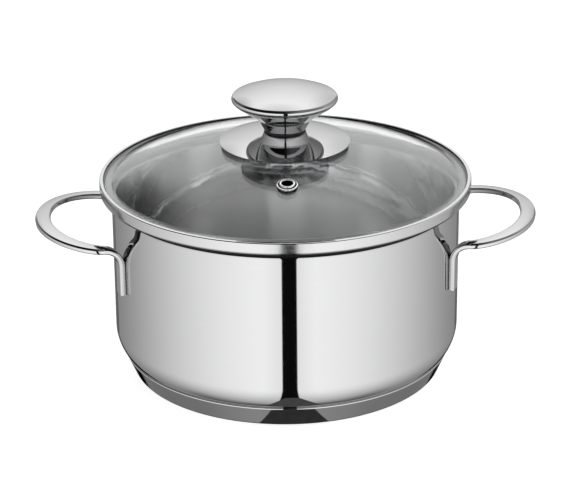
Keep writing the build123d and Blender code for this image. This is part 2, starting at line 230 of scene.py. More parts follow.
class Bench:
    """Adds nodes to one node tree and links them."""

    def __init__(self, tree):
        self.tree = tree
        tree.nodes.clear()

    def node(self, kind, **settings):
        made = self.tree.nodes.new(kind)
        for key, value in settings.items():
            setattr(made, key, value)
        return made

    def plug(self, value, socket):
        if isinstance(value, bpy.types.NodeSocket):
            self.tree.links.new(value, socket)
        else:
            socket.default_value = value

    def math(self, operation, a, b=0.0):
        made = self.node("ShaderNodeMath", operation=operation)
        self.plug(a, made.inputs[0])
        self.plug(b, made.inputs[1])
        return made.outputs[0]

    def ramp(self, value, low, high, out_low=0.0, out_high=1.0):
        """Smooth step from one output to the other as a value passes from low to high."""
        made = self.node("ShaderNodeMapRange", interpolation_type="SMOOTHSTEP")
        for key, socket_value in (("Value", value), ("From Min", low), ("From Max", high),
                                  ("To Min", out_low), ("To Max", out_high)):
            self.plug(socket_value, made.inputs[key])
        return made.outputs["Result"]

    def blend(self, share, a, b):
        """Number that goes from a to b as share goes from 0 to 1."""
        made = self.node("ShaderNodeMix", data_type="FLOAT")
        self.plug(share, made.inputs[0])
        self.plug(a, made.inputs[2])
        self.plug(b, made.inputs[3])
        return made.outputs[0]

    def tint(self, value, span, dark, light):
        """Color that goes from dark to light as a value crosses a span."""
        made = self.node("ShaderNodeValToRGB")
        for element, position, color in zip(made.color_ramp.elements, span, (dark, light)):
            element.position = position
            element.color = (*color, 1)
        self.plug(value, made.inputs[0])
        return made.outputs[0]

    def noise(self, vector, scale, detail=2.0):
        made = self.node("ShaderNodeTexNoise")
        self.plug(vector, made.inputs["Vector"])
        made.inputs["Scale"].default_value = scale
        made.inputs["Detail"].default_value = detail
        return made.outputs["Fac"]

    def place(self):
        """Position on the object, in metres."""
        return self.node("ShaderNodeTexCoord").outputs["Object"]

    def split(self, vector):
        made = self.node("ShaderNodeSeparateXYZ")
        self.plug(vector, made.inputs[0])
        return made.outputs

    def radius(self, x, y):
        """Distance from the axis."""
        squares = self.math("ADD", self.math("MULTIPLY", x, x), self.math("MULTIPLY", y, y))
        return self.math("SQRT", squares)

    def join(self, x, y, z):
        made = self.node("ShaderNodeCombineXYZ")
        for value, socket in zip((x, y, z), made.inputs):
            self.plug(value, socket)
        return made.outputs[0]

    def bump(self, height, depth):
        made = self.node("ShaderNodeBump")
        made.inputs["Distance"].default_value = depth
        self.plug(height, made.inputs["Height"])
        return made.outputs[0]


def new_finish(name, shader="ShaderNodeBsdfPrincipled"):
    """New material with its bench and its shader."""
    finish = bpy.data.materials.new(name)
    finish.use_nodes = True
    bench = Bench(finish.node_tree)
    surface = bench.node(shader)
    output = bench.node("ShaderNodeOutputMaterial")
    bench.plug(surface.outputs[0], output.inputs["Surface"])
    return finish, bench, surface


print("wiring bench ready")

# %% [markdown]
# ## Camera
#
# The photograph looks down on the pot from the front with a long lens, so that the rim and the base keep
# nearly the same width. The camera stands where the fitted outlines put it. It aims a little above the foot
# of the pot, and it is rolled by half a degree, as the photograph is.

# %% Camera
IMAGE_SIZE = (577, 500)
FOCAL_PIXELS = 2353.7
CAMERA_DISTANCE = 1.1278
CAMERA_ELEVATION = radians(24.93)
CAMERA_AZIMUTH = radians(-1.0)
CAMERA_ROLL = radians(0.5)
FOOT_PIXEL = (286.9, 357.1)
FAR_CLIP = 50

away = Vector((
    sin(CAMERA_AZIMUTH) * cos(CAMERA_ELEVATION),
    -cos(CAMERA_AZIMUTH) * cos(CAMERA_ELEVATION),
    sin(CAMERA_ELEVATION),
))
camera_data = bpy.data.cameras.new("camera")
camera_data.sensor_fit = "HORIZONTAL"
camera_data.lens = FOCAL_PIXELS * camera_data.sensor_width / IMAGE_SIZE[0]
camera_data.clip_end = FAR_CLIP
camera = placed("camera", camera_data)
bpy.context.scene.camera = camera
camera.location = away * CAMERA_DISTANCE
foot_right = FOOT_PIXEL[0] - IMAGE_SIZE[0] / 2
foot_down = FOOT_PIXEL[1] - IMAGE_SIZE[1] / 2
foot_offset = Matrix.Rotation(CAMERA_ROLL, 2) @ Vector((foot_right, foot_down))
aim = (-away).to_track_quat("-Z", "Y")
pitch = Quaternion((1, 0, 0), atan(foot_offset.y / FOCAL_PIXELS))
yaw = Quaternion((0, 1, 0), atan(foot_offset.x / FOCAL_PIXELS))
roll = Quaternion((0, 0, 1), -CAMERA_ROLL)
camera.rotation_mode = "QUATERNION"
camera.rotation_quaternion = aim @ yaw @ pitch @ roll
print("camera lens", round(camera_data.lens, 1), "mm at", [round(x, 3) for x in camera.location])

# %% [markdown]
# ## Studio
#
# A mirror shows the room and not itself, so the room is most of this picture. Polished pots are shot in a
# white tent: the walls fade towards the back, the camera looks in through a narrow slit, and the roof is open
# above the camera. Area lights could copy that, but a sky that is worked out from the direction alone gives
# clean edges with no lamp in sight. The camera itself sees plain white beyond the floor. Every soft border is
# a ramp, listed as the place where it starts and the place where it ends. Its two values follow where they
# aren't 0 and 1.

# %% Tent of light
TENT_MIDDLE = 1.0
TENT_FADE = 0.73
BACKDROP_LIGHT = 0.66
BACKDROP_RISE = 1.28
BACKDROP_EDGE = (-0.90, -0.93)
STEEP_START = -0.45
STEEP_SPAN = 0.55
STEEP_DIM = 0.5
STEEPEST = (-0.80, -0.92)
BEHIND_DIM = (-0.1, 0.4, 0.0, 0.5)
SLIT_CENTER = 0.0145
SLIT_HALF_WIDTH = 0.072
SLIT_EDGE = 0.012
SLIT_FRONT = (0.35, 0.3)
SLIT_SHADE = (0.30, 0.08, 0.0, 0.12)
SLIT_LIGHT = 0.006
ROOF_START = (0.24, 0.30)
ROOF_EDGE = (radians(101), radians(128))
ROOF_TWIST = 0.2
ROOF_HOLE = (-0.1, 0.5, 0.015, 0.3)
ROOF_LEFT = (-0.24, -0.38, 1.0, 0.12)
ROOF_RIGHT = (0.2, 0.5, 1.0, 0.42)


def tent_of_light():
    world = bpy.data.worlds.new("tent")
    bpy.context.scene.world = world
    world.use_nodes = True
    bench = Bench(world.node_tree)
    x, y, z = bench.split(bench.node("ShaderNodeTexCoord").outputs["Generated"])
    to_front = bench.math("MULTIPLY", y, -1.0)
    level = bench.math("SQRT", bench.math("SUBTRACT", 1.0, bench.math("MULTIPLY", z, z)))
    front = bench.math("DIVIDE", to_front, bench.math("MAXIMUM", level, NEARLY_ZERO))
    walls = bench.math("ADD", bench.math("MULTIPLY", front, TENT_FADE), TENT_MIDDLE)
    backdrop = bench.math("ADD", bench.math("MULTIPLY", z, BACKDROP_RISE), BACKDROP_LIGHT)
    walls = bench.blend(bench.ramp(front, *BACKDROP_EDGE), walls, backdrop)
    steep = bench.math("DIVIDE", bench.math("SUBTRACT", STEEP_START, z), STEEP_SPAN)
    steep = bench.math("MAXIMUM", steep, 0.0)
    dimmed = bench.math("MULTIPLY", bench.math("MULTIPLY", steep, steep), STEEP_DIM)
    behind = bench.math("MULTIPLY", bench.ramp(z, *STEEPEST), bench.ramp(y, *BEHIND_DIM))
    walls = bench.math("MULTIPLY", walls, bench.math("SUBTRACT", 1.0, dimmed))
    walls = bench.math("MULTIPLY", walls, bench.math("SUBTRACT", 1.0, behind))

    off_slit = bench.math("ABSOLUTE", bench.math("SUBTRACT", x, SLIT_CENTER))
    in_front = bench.ramp(y, *SLIT_FRONT)
    near_slit = bench.math("MULTIPLY", bench.ramp(off_slit, *SLIT_SHADE), in_front)
    walls = bench.math("MULTIPLY", walls, bench.math("SUBTRACT", 1.0, near_slit))
    slit = bench.ramp(off_slit, SLIT_HALF_WIDTH + SLIT_EDGE, SLIT_HALF_WIDTH)
    slit = bench.math("MULTIPLY", slit, in_front)
    walls = bench.blend(slit, walls, SLIT_LIGHT)

    turn = bench.math("ADD", bench.math("ARCTAN2", z, to_front), bench.math("MULTIPLY", x, ROOF_TWIST))
    sides = bench.math("MULTIPLY", bench.ramp(x, *ROOF_LEFT), bench.ramp(x, *ROOF_RIGHT))
    roof = bench.math("MULTIPLY", backdrop, sides)
    roof = bench.blend(bench.ramp(turn, *ROOF_EDGE), bench.ramp(x, *ROOF_HOLE), roof)
    light = bench.blend(bench.ramp(z, *ROOF_START), walls, roof)

    studio = bench.node("ShaderNodeBackground")
    bench.plug(light, studio.inputs["Color"])
    plain = bench.node("ShaderNodeBackground")
    plain.inputs["Color"].default_value = (1, 1, 1, 1)
    either = bench.node("ShaderNodeMixShader")
    bench.plug(bench.node("ShaderNodeLightPath").outputs["Is Camera Ray"], either.inputs[0])
    bench.plug(studio.outputs[0], either.inputs[1])
    bench.plug(plain.outputs[0], either.inputs[2])
    output = bench.node("ShaderNodeOutputWorld")
    bench.plug(either.outputs[0], output.inputs["Surface"])
    return world


tent_of_light()
tent_back = round(TENT_MIDDLE - TENT_FADE, 2)
tent_front = round(TENT_MIDDLE + TENT_FADE, 2)
print("tent lit from", tent_back, "at the back to", tent_front, "at the front")

# %% [markdown]
# ## Floor
#
# The pot stands on a plain white floor that is lit until it almost loses its shadow. Its own faint glow does
# that. The polished wall looks down at the floor, where a real tent has its slit, so the floor is hidden from
# mirror rays and the tent shows there instead.

# %% Floor
FLOOR_SIZE = 12.0
FLOOR_DROP = 0.05 * MM
FLOOR_GLOW = 0.85
FLOOR_GRAIN = 400.0
FLOOR_DARK = (0.86, 0.86, 0.86)
FLOOR_WHITE = (0.9, 0.9, 0.9)


def white_floor():
    finish, bench, surface = new_finish("white floor")
    grain = bench.noise(bench.place(), FLOOR_GRAIN)
    bench.plug(bench.tint(grain, NOISE_WHOLE, FLOOR_DARK, FLOOR_WHITE), surface.inputs["Base Color"])
    surface.inputs["Roughness"].default_value = 0.9
    surface.inputs["Specular IOR Level"].default_value = 0.0
    surface.inputs["Emission Color"].default_value = (1, 1, 1, 1)
    surface.inputs["Emission Strength"].default_value = FLOOR_GLOW
    return finish


half_floor = FLOOR_SIZE / 2
floor_mesh = bpy.data.meshes.new("floor")
floor_corners = [(-1, -1), (1, -1), (1, 1), (-1, 1)]
floor_points = [(x * half_floor, y * half_floor, -FLOOR_DROP) for x, y in floor_corners]
floor_mesh.from_pydata(floor_points, [], [(0, 1, 2, 3)])
floor_mesh.materials.append(white_floor())
floor = placed("floor", floor_mesh)
floor.visible_glossy = False
print("floor", FLOOR_SIZE, "m wide")

# %% [markdown]
# The foot of the pot looks straight down at the floor just before it. There a small dark flag lies, as
# photographers use to give bright metal an edge. Only mirrors see it.

# %% Flag at the foot
FLAG_MIDDLE = 0.0015
FLAG_BACK = (0.066, 0.019)
FLAG_FRONT = (0.091, 0.004)
FLAG_DROP = 0.03 * MM
FLAG_LIGHT = (0.09, 0.11)
FLAG_WEAVE = 300.0


def dark_flag():
    finish, bench, glow = new_finish("dark flag", "ShaderNodeEmission")
    weave = bench.noise(bench.place(), FLAG_WEAVE)
    bench.plug(bench.ramp(weave, *NOISE_MIDDLE, *FLAG_LIGHT), glow.inputs["Strength"])
    return finish


flag_mesh = bpy.data.meshes.new("flag")
flag_corners = [(-FLAG_BACK[1], -FLAG_BACK[0]), (-FLAG_FRONT[1], -FLAG_FRONT[0]),
                (FLAG_FRONT[1], -FLAG_FRONT[0]), (FLAG_BACK[1], -FLAG_BACK[0])]
flag_points = [(FLAG_MIDDLE + x, y, -FLAG_DROP) for x, y in flag_corners]
flag_mesh.from_pydata(flag_points, [], [(0, 1, 2, 3)])
flag_mesh.materials.append(dark_flag())
flag = placed("flag", flag_mesh)
flag.visible_camera = False
flag.visible_diffuse = False
flag.visible_transmission = False
flag.visible_shadow = False
print("flag", round(2 * FLAG_BACK[1] / MM), "mm wide at the foot")

# %% [markdown]
# ## Steel finishes
#
# Several finishes of stainless steel show on the pot. The outside is buffed to a mirror, with only a trace of
# buffing haze. The band of the lid is brushed after that, which makes it a softer mirror. The bowl's inner
# wall is polished over the soft waves that drawing leaves, and its floor is satin. The base is a satin that
# is darkened with painted shade, and the skirt inside the lid is darkened further with painted shade. The
# edges of the lid's sheet are polished and brightened with a painted highlight, the vent more so, and the
# lip's underside is near black with painted shade. Brushing is drawn as noise that is stretched round the
# axis. It tilts the surface a little and roughens it.

# %% Steel
BLUE_TRACE = 0.005
STREAK_STRETCH = 0.004
STREAK_SHARE = 0.6
HAZE_SCALE = 60.0
WORN_SHADE = 0.985
WAVE_DRIFT = 5.0
WAVE_SCALE = 9.0
WAVE_DEPTH = 0.1 * MM
WAVE_ROUGHNESS = (0.03, 0.06)


def round_and_round(bench, stretch):
    """Coordinates in which noise becomes long streaks round the pot's axis."""
    x, y, z = bench.split(bench.place())
    angle = bench.math("ARCTAN2", y, x)
    return bench.join(bench.radius(x, y), bench.math("MULTIPLY", angle, stretch), z)


def steel_grey(level):
    """Grey with a trace of blue."""
    return (level, level, level + BLUE_TRACE)


def steel(name, color, dull, bright, streaks, depth):
    """Steel with its roughness between dull and bright, brushed with so many streaks a metre."""
    finish, bench, surface = new_finish(name)
    lines = bench.noise(round_and_round(bench, STREAK_STRETCH), streaks, 3.0)
    haze = bench.noise(bench.place(), HAZE_SCALE, 3.0)
    worn = bench.blend(STREAK_SHARE, haze, lines)
    worn_color = [channel * WORN_SHADE for channel in color]
    bench.plug(bench.ramp(worn, *NOISE_MIDDLE, bright, dull), surface.inputs["Roughness"])
    bench.plug(bench.tint(worn, NOISE_MIDDLE, worn_color, color), surface.inputs["Base Color"])
    bench.plug(bench.bump(lines, depth), surface.inputs["Normal"])
    surface.inputs["Metallic"].default_value = 1.0
    return finish


def wavy_inside():
    """Polished inside of a drawn bowl, with the soft upright waves that drawing leaves."""
    finish, bench, surface = new_finish("polished inside")
    x, y, z = bench.split(bench.place())
    radius = bench.math("MAXIMUM", bench.radius(x, y), NEARLY_ZERO)
    down = bench.math("MULTIPLY", bench.math("ADD", z, radius), WAVE_DRIFT)
    ways = bench.join(bench.math("DIVIDE", x, radius), bench.math("DIVIDE", y, radius), down)
    waves = bench.noise(ways, WAVE_SCALE, 3.0)
    haze = bench.noise(bench.place(), HAZE_SCALE, 3.0)
    bench.plug(bench.ramp(haze, *NOISE_MIDDLE, *WAVE_ROUGHNESS), surface.inputs["Roughness"])
    bench.plug(bench.bump(waves, WAVE_DEPTH), surface.inputs["Normal"])
    surface.inputs["Base Color"].default_value = (*steel_grey(0.76), 1)
    surface.inputs["Metallic"].default_value = 1.0
    return finish


mirror_steel = steel("mirror steel", steel_grey(0.50), 0.045, 0.02, 900.0, 0.002 * MM)
band_steel = steel("brushed mirror steel", steel_grey(0.52), 0.17, 0.11, 3000.0, 0.006 * MM)
# The base's satin steel is darkened with painted shade for the shadowed floor that it mirrors.
satin_painted_shade_steel = steel("satin steel with painted shade", steel_grey(0.24), 0.14, 0.08, 2500.0, 0.008 * MM)
# Near-black steel is painted shade: under the lip, in the vent's groove and in its bore.
painted_shade_steel = steel("steel with painted shade", (0.010, 0.010, 0.010), 0.5, 0.4, 2000.0, 0.01 * MM)
plain_steel = steel("bright fastener steel", steel_grey(0.55), 0.35, 0.22, 2000.0, 0.01 * MM)
aluminium = steel("rolled aluminium", (0.78, 0.78, 0.79), 0.5, 0.35, 1500.0, 0.02 * MM)
inside_steel = wavy_inside()
floor_steel = steel("satin floor steel", steel_grey(0.62), 0.42, 0.32, 2500.0, 0.004 * MM)
# The edge steel is brightened as a painted highlight on the hem and the upper edge of the band.
painted_highlight_edge_steel = steel("edge steel with painted highlight", steel_grey(0.66), 0.06, 0.03, 900.0, 0.001 * MM)
# The skirt steel is darkened with painted shade inside the lid, in the skirt and the channel.
painted_shade_skirt_steel = steel("satin skirt steel with painted shade", steel_grey(0.12), 0.14, 0.08, 2500.0, 0.008 * MM)
# The vent steel is polished, and it is brightened past real steel as a painted highlight.
painted_highlight_vent_steel = steel("polished vent steel with painted highlight", steel_grey(0.92), 0.06, 0.03, 900.0, 0.001 * MM)
steels = (mirror_steel, band_steel, satin_painted_shade_steel, painted_shade_steel, plain_steel,
          inside_steel, floor_steel, painted_highlight_edge_steel, painted_shade_skirt_steel, painted_highlight_vent_steel)
print("steels:", ", ".join(finish.name for finish in steels))

# %% [markdown]
# ## Glass and silicone
#
# The lid is toughened glass, pressed and then chilled, so its faces carry a very slight wave that bends
# reflections. It is modelled as a true solid, because the double reflections at its edges come from having
# two faces. The silicone that beds it is milky, and the ring under the knob is black.

# %% Glass and silicone
GLASS_IOR = 1.5
GLASS_WAVE = 45.0
SILICONE_IOR = 1.41
SILICONE_MOTTLE = 900.0
SILICONE_SHADE = 0.9
SILICONE_ROUGHNESS = (0.4, 0.55)
SOFT_BUMP = 0.02 * MM


def clear_glass():
    finish, bench, surface = new_finish("toughened glass")
    surface.inputs["Base Color"].default_value = (0.97, 0.985, 0.98, 1)
    surface.inputs["Roughness"].default_value = 0.0
    surface.inputs["IOR"].default_value = GLASS_IOR
    surface.inputs["Transmission Weight"].default_value = 1.0
    wave = bench.noise(bench.place(), GLASS_WAVE, 1.0)
    bench.plug(bench.bump(wave, SOFT_BUMP), surface.inputs["Normal"])
    return finish


def silicone(name, color, clearness):
    finish, bench, surface = new_finish(name)
    mottle = bench.noise(bench.place(), SILICONE_MOTTLE, 3.0)
    shaded = [channel * SILICONE_SHADE for channel in color]
    bench.plug(bench.tint(mottle, NOISE_WHOLE, shaded, color), surface.inputs["Base Color"])
    bench.plug(bench.ramp(mottle, *NOISE_MIDDLE, *SILICONE_ROUGHNESS), surface.inputs["Roughness"])
    bench.plug(bench.bump(mottle, SOFT_BUMP), surface.inputs["Normal"])
    surface.inputs["Transmission Weight"].default_value = clearness
    surface.inputs["IOR"].default_value = SILICONE_IOR
    return finish


glass = clear_glass()
milky_silicone = silicone("milky silicone", (0.30, 0.305, 0.305), 0.5)
black_silicone = silicone("black silicone", (0.02, 0.02, 0.02), 0.0)
print("clear finishes:", glass.name, milky_silicone.name, black_silicone.name)

# %% [markdown]
# ## Bowl
#
# The bowl is drawn from one round of sheet: a flat floor, a generous corner, a straight wall, and a lip that
# flares so that the pot pours without dripping. Outside it is a mirror, inside it is polished over a satin
# floor, and under the lip it is near black with painted shade. One mesh with four finishes keeps the sheet
# whole, so each face takes its finish from where it is and where it looks.

# %% Bowl
bowl_low, bowl_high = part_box("pot_shell")
wall_sheet = 0.7 * MM
lip_reach = 4.1 * MM
lip_flat = 0.5 * MM
bowl_corner = 16.5 * MM
bowl_edge = 0.3 * MM
lip_root = 0.16 * MM
upward = 0.5
level_floor = 0.99
wall_lean = 0.2
wall_radius = bowl_high.x - lip_reach
lip_underside = bowl_high.z - wall_sheet

bowl = turned("pot_bowl", pressed([
    (0, bowl_low.z),
    (wall_radius, bowl_low.z, bowl_corner),
    (wall_radius, lip_underside, lip_reach - lip_flat),
    (bowl_high.x, lip_underside),
], wall_sheet, bowl_edge), mirror_steel)


def bowl_finish(face):
    """Satin on the floor, polished inside, painted shade under the lip, and a mirror elsewhere."""
    looks_up = face.normal.z > upward
    is_floor = looks_up and face.center.z < bowl_low.z + bowl_corner
    if is_floor and face.normal.z > level_floor:
        return floor_steel
    if is_floor or looks_inwards(face, wall_lean):
        return inside_steel
    past_wall = face.center.to_2d().length > wall_radius + lip_root
    # Faces under the lip take the near-black steel as painted shade.
    return painted_shade_steel if past_wall and not looks_up else mirror_steel


refinish(bowl, (mirror_steel, inside_steel, painted_shade_steel, floor_steel), bowl_finish)
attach(bowl, "pot")
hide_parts("pot_shell")
print("bowl", round(2 * wall_radius / MM, 1), "mm across,", len(bowl.data.polygons), "faces")

# %% [markdown]
# ## Base
#
# A thick aluminium disc spreads the heat, and a thin steel dish closes it in. Only the dish shows, as a
# slightly narrower satin step under the bowl, darkened with painted shade for the shadowed floor it mirrors,
# with a bright rounded rim. The disc is inside, so it keeps its plain CAD shape.

# %% Base
base_low, base_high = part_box("base_cap")
cap_lean = radians(23.5)
cap_foot = 1.5 * MM
cap_round = 0.6 * MM
cap_end = 0.25 * MM
cap_rim = 0.7 * MM
rim_tilt = -0.37
cap_drop = wall_sheet * sin(cap_lean)
cap_edge = (base_high.x, base_high.z - cap_drop)
foot_radius = cap_edge[0] - cap_edge[1] * tan(cap_lean)
base_cap = turned("base_dish", pressed([
    (0, base_low.z),
    (foot_radius, base_low.z, cap_foot),
    (*cap_edge, cap_round),
], wall_sheet, cap_end), satin_painted_shade_steel)


def base_finish(face):
    """A mirror on the rim, and satin darkened with painted shade elsewhere."""
    on_rim = face.center.z > cap_edge[1] - cap_rim and face.normal.z > rim_tilt
    # Below the rim the dish takes the satin steel that carries painted shade.
    return mirror_steel if on_rim else satin_painted_shade_steel


refinish(base_cap, (satin_painted_shade_steel, mirror_steel), base_finish)
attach(base_cap, "pot")
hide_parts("base_cap")
print("base dish stands on", round(2 * foot_radius / MM, 1), "mm")

# %% [markdown]
# ## Handles
#
# Each handle is one flat bar. Its legs lie on the wall, where they are welded. They bend outwards and run
# round in a loop that rises, widens and leans outwards towards its tip. A bar like this is a row of sections
# along a path. The path is worked out as a leg, a bend and a cubic curve, and mirrored for the other leg.

# %% Handle path
bar_thickness = 2.8 * MM
bar_edge = 1.1 * MM
leg_width = 6.2 * MM
tip_width = 7.2 * MM
leg_spread = 62.2 * MM
arm_height = 70.7 * MM
arm_rise = 4.8 * MM
bend_radius = 9.0 * MM
arm_pull = 7.5 * MM
tip_pull = 27.5 * MM
tip_tilt = radians(9.2)
handle_low, handle_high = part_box("handle_right")

leg_land = leg_width - 2 * bar_edge
leg_radius = wall_radius + bar_thickness / 2 - leg_land ** 2 / (8 * wall_radius)
leg_angle = asin(leg_spread / 2 / leg_radius)
tip_half = (tip_width / 2 - bar_edge) * cos(tip_tilt) + (bar_thickness / 2 - bar_edge) * sin(tip_tilt)
tip_center = handle_high.x - tip_half - bar_edge
arm_slope = arm_rise / (tip_center - leg_radius * cos(leg_angle))
bend_angle = pi / 2 - atan(arm_slope * cos(leg_angle))
bend_start = arm_height - bend_radius * sin(bend_angle)
arm_way = Vector((cos(leg_angle), sin(leg_angle)))
arm_end = arm_way * (leg_radius + bend_radius * (1 - cos(bend_angle)))
arm_guide = arm_end + arm_way * arm_pull
tip_guide = Vector((tip_center, tip_pull))
tip_end = Vector((tip_center, 0))
END_EASE = 0.5 * MM
END_SHARES = (0, 0.15, 0.5, 1)
BEND_STEPS = 28
LOOP_STEPS = 90


def leg_stations():
    """Leg and bend, from the bottom up, as (place, across, up, width, thickness)."""
    outwards = Vector((cos(leg_angle), sin(leg_angle), 0))
    across = Vector((-outwards.y, outwards.x, 0))
    rise = Vector((0, 0, 1))
    foot = outwards * leg_radius
    stations = []
    for ease in END_SHARES:
        inset = END_EASE * (1 - sqrt(1 - (1 - ease) ** 2))
        stations.append((foot + rise * (handle_low.z + END_EASE * ease), across, -outwards,
                         leg_width - 2 * inset, bar_thickness - 2 * inset))
    pivot = outwards * (leg_radius + bend_radius) + rise * bend_start
    for step in range(BEND_STEPS + 1):
        turn = bend_angle * step / BEND_STEPS
        up = rise * sin(turn) - outwards * cos(turn)
        stations.append((pivot + up * bend_radius, across, up, leg_width, bar_thickness))
    return stations


def loop_stations():
    """Half of the loop, from the bend to the tip."""
    stations = []
    for step in range(1, LOOP_STEPS + 1):
        share = step / LOOP_STEPS
        rest = 1 - share
        flat = arm_end * rest ** 3 + arm_guide * (3 * share * rest ** 2)
        flat += tip_guide * (3 * share ** 2 * rest) + tip_end * share ** 3
        way = (arm_guide - arm_end) * rest ** 2 + (tip_guide - arm_guide) * (2 * share * rest)
        way += (tip_end - tip_guide) * share ** 2
        place = Vector((*flat, arm_height + arm_slope * (flat.x - arm_end.x)))
        along = Vector((*way, arm_slope * way.x)).normalized()
        across = Vector((-along.y, along.x, 0)).normalized()
        up = along.cross(across)
        growth = sin(share * pi / 2)
        tilt = tip_tilt * growth
        width = leg_width + (tip_width - leg_width) * growth ** 2
        stations.append((place, across * cos(tilt) - up * sin(tilt), up * cos(tilt) + across * sin(tilt),
                         width, bar_thickness))
    return stations


half_path = leg_stations() + loop_stations()
flip = Matrix.Diagonal((1, -1, 1))
handle_path = half_path + [
    (flip @ place, flip @ across, flip @ up, width, thickness)
    for place, across, up, width, thickness in reversed(half_path[:-1])
]
print("handle path has", len(handle_path), "sections")

# %% [markdown]
# The bar's section is a rectangle with rounded edges. Where a leg lies on the wall, the section is pressed
# flat against the wall's curve, which is how the welded foot sits on the real pot.

# %% Handles
CROWN = 0.3 * MM
CROWN_LEVEL = 0.6
CROWN_POINTS = (0.6, 0.45, 0.3, 0.15, 0, -0.15, -0.3, -0.45, -0.6)
EDGE_SPARE = 0.05 * MM


def bar_section(width, thickness):
    """Flat below and rounded at the edges, with a slightly crowned top."""
    edge = min(bar_edge, thickness / 2 - EDGE_SPARE)
    x = width / 2
    y = thickness / 2
    outline = rounded([(-x, -y, edge), (x, -y, edge), (x, y, edge)] + [
        (x * share, y) for share in CROWN_POINTS] + [(-x, y, edge)])
    return [(u, v + CROWN * (CROWN_LEVEL - (u / x) ** 2) * (v + y) / thickness) for u, v in outline]


def bent_bar(name, path, side, finish):
    vertices = []
    for place, across, up, width, thickness in path:
        for u, v in bar_section(width, thickness):
            point = place + across * u + up * v
            reach = point.to_2d().length
            if reach < wall_radius:
                point = Vector((point.x * wall_radius / reach, point.y * wall_radius / reach, point.z))
            vertices.append((point.x * side, point.y, point.z))
    count = len(vertices) // len(path)
    faces = [list(range(count)), list(range(len(vertices) - count, len(vertices)))]
    for ring in range(len(path) - 1):
        for step in range(count):
            other = (step + 1) % count
            low = ring * count
            high = low + count
            faces.append((low + step, low + other, high + other, high + step))
    return keep_flats(finish_mesh(name, vertices, faces, finish))


for name, side, node in (("handle_loop_right", 1, "handle_right"), ("handle_loop_left", -1, "handle_left")):
    bar = bent_bar(name, handle_path, side, mirror_steel)
    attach(bar, "pot")
    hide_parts(node)
    print(name, len(bar.data.polygons), "faces")

# %% [markdown]
# ## Lid glass
#
# The glass is a shallow dome that runs out into a flat flange, where the band grips it. It has two holes, one
# for the knob's screw on its axis and one for the steam vent. The first is in the section, and the second is
# bored square to the dome with a boolean cut.

# %% Lid glass
glass_low, glass_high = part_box("lid_glass")
glass_sheet = 3.5 * MM
flange_width = 2.1 * MM
flange_blend = 8.0 * MM
glass_edge = 0.6 * MM
screw_hole = 3.6 * MM
dome_top = 110.9 * MM
flange_top = glass_low.z + glass_sheet
blend_reach = glass_high.x - flange_width
blend_drop = dome_top - flange_top - flange_blend
dome_radius = blend_reach ** 2 + blend_drop ** 2 - flange_blend ** 2
dome_radius = dome_radius / (2 * (flange_blend + blend_drop))
dome_center = (0, dome_top - dome_radius)
blend_center = (blend_reach, flange_top + flange_blend)
blend_angle = atan2(blend_reach, blend_center[1] - dome_center[1])


def dome_frame(distance, bearing):
    """Matrix of a point on top of the glass, its Z square to the dome."""
    lean = asin(distance / dome_radius)
    outwards = Vector((cos(bearing), sin(bearing), 0))
    normal = outwards * sin(lean) + Vector((0, 0, cos(lean)))
    across = Vector((-outwards.y, outwards.x, 0))
    place = outwards * distance + Vector((0, 0, dome_center[1] + dome_radius * cos(lean)))
    turn = Matrix((across, normal.cross(across), normal)).transposed().to_4x4()
    return Matrix.Translation(place) @ turn


def glass_section():
    inner = dome_radius - glass_sheet
    edge = arc((glass_high.x - glass_edge, flange_top - glass_edge), glass_edge, 0, pi / 2)
    edge += arc((glass_high.x - glass_edge, glass_low.z + glass_edge), glass_edge, pi / 2, pi)
    over = arc(dome_center, dome_radius, asin(screw_hole / dome_radius), blend_angle)
    over += arc(blend_center, flange_blend, pi + blend_angle, pi)[1:]
    under = arc(blend_center, flange_blend + glass_sheet, pi, pi + blend_angle)
    under += arc(dome_center, inner, blend_angle, asin(screw_hole / inner))[1:]
    return over + edge + under


vent_distance = 46.5 * MM
vent_bearing = -pi / 2
vent_hole = 3.5 * MM
drill_tip = -8 * MM
drill_top = 4 * MM
vent_place = dome_frame(vent_distance, vent_bearing)
lid_glass = turned("lid_dome_glass", glass_section(), glass)
drill_section = [(0, drill_tip), (vent_hole, drill_tip), (vent_hole, drill_top), (0, drill_top)]
bit = turned("vent_drill", drill_section, glass)
bit.matrix_world = vent_place
bore = lid_glass.modifiers.new("vent hole", "BOOLEAN")
bore.object = bit
bore.solver = "EXACT"
lid_glass.modifiers.move(1, 0)
bpy.context.view_layer.update()
cut = bpy.data.meshes.new_from_object(lid_glass.evaluated_get(bpy.context.evaluated_depsgraph_get()))
lid_glass.modifiers.clear()
lid_glass.data = cut
bpy.data.objects.remove(bit)
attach(lid_glass, "lid")
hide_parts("lid_glass")
print("glass dome radius", round(dome_radius / MM, 1), "mm,", len(lid_glass.data.polygons), "faces")

# %% [markdown]
# ## Band of the lid
#
# A strip of brushed steel is rolled round the edge of the glass. Inside the pot it is a skirt with a small
# hem, which keeps the lid in place. From there it runs out over the lip, up, and in over the glass, which is
# bedded in it with silicone. The hem and the upper edge are brightened with painted highlights, and the skirt
# and the channel are a satin darkened with painted shade, so the faces take three finishes.

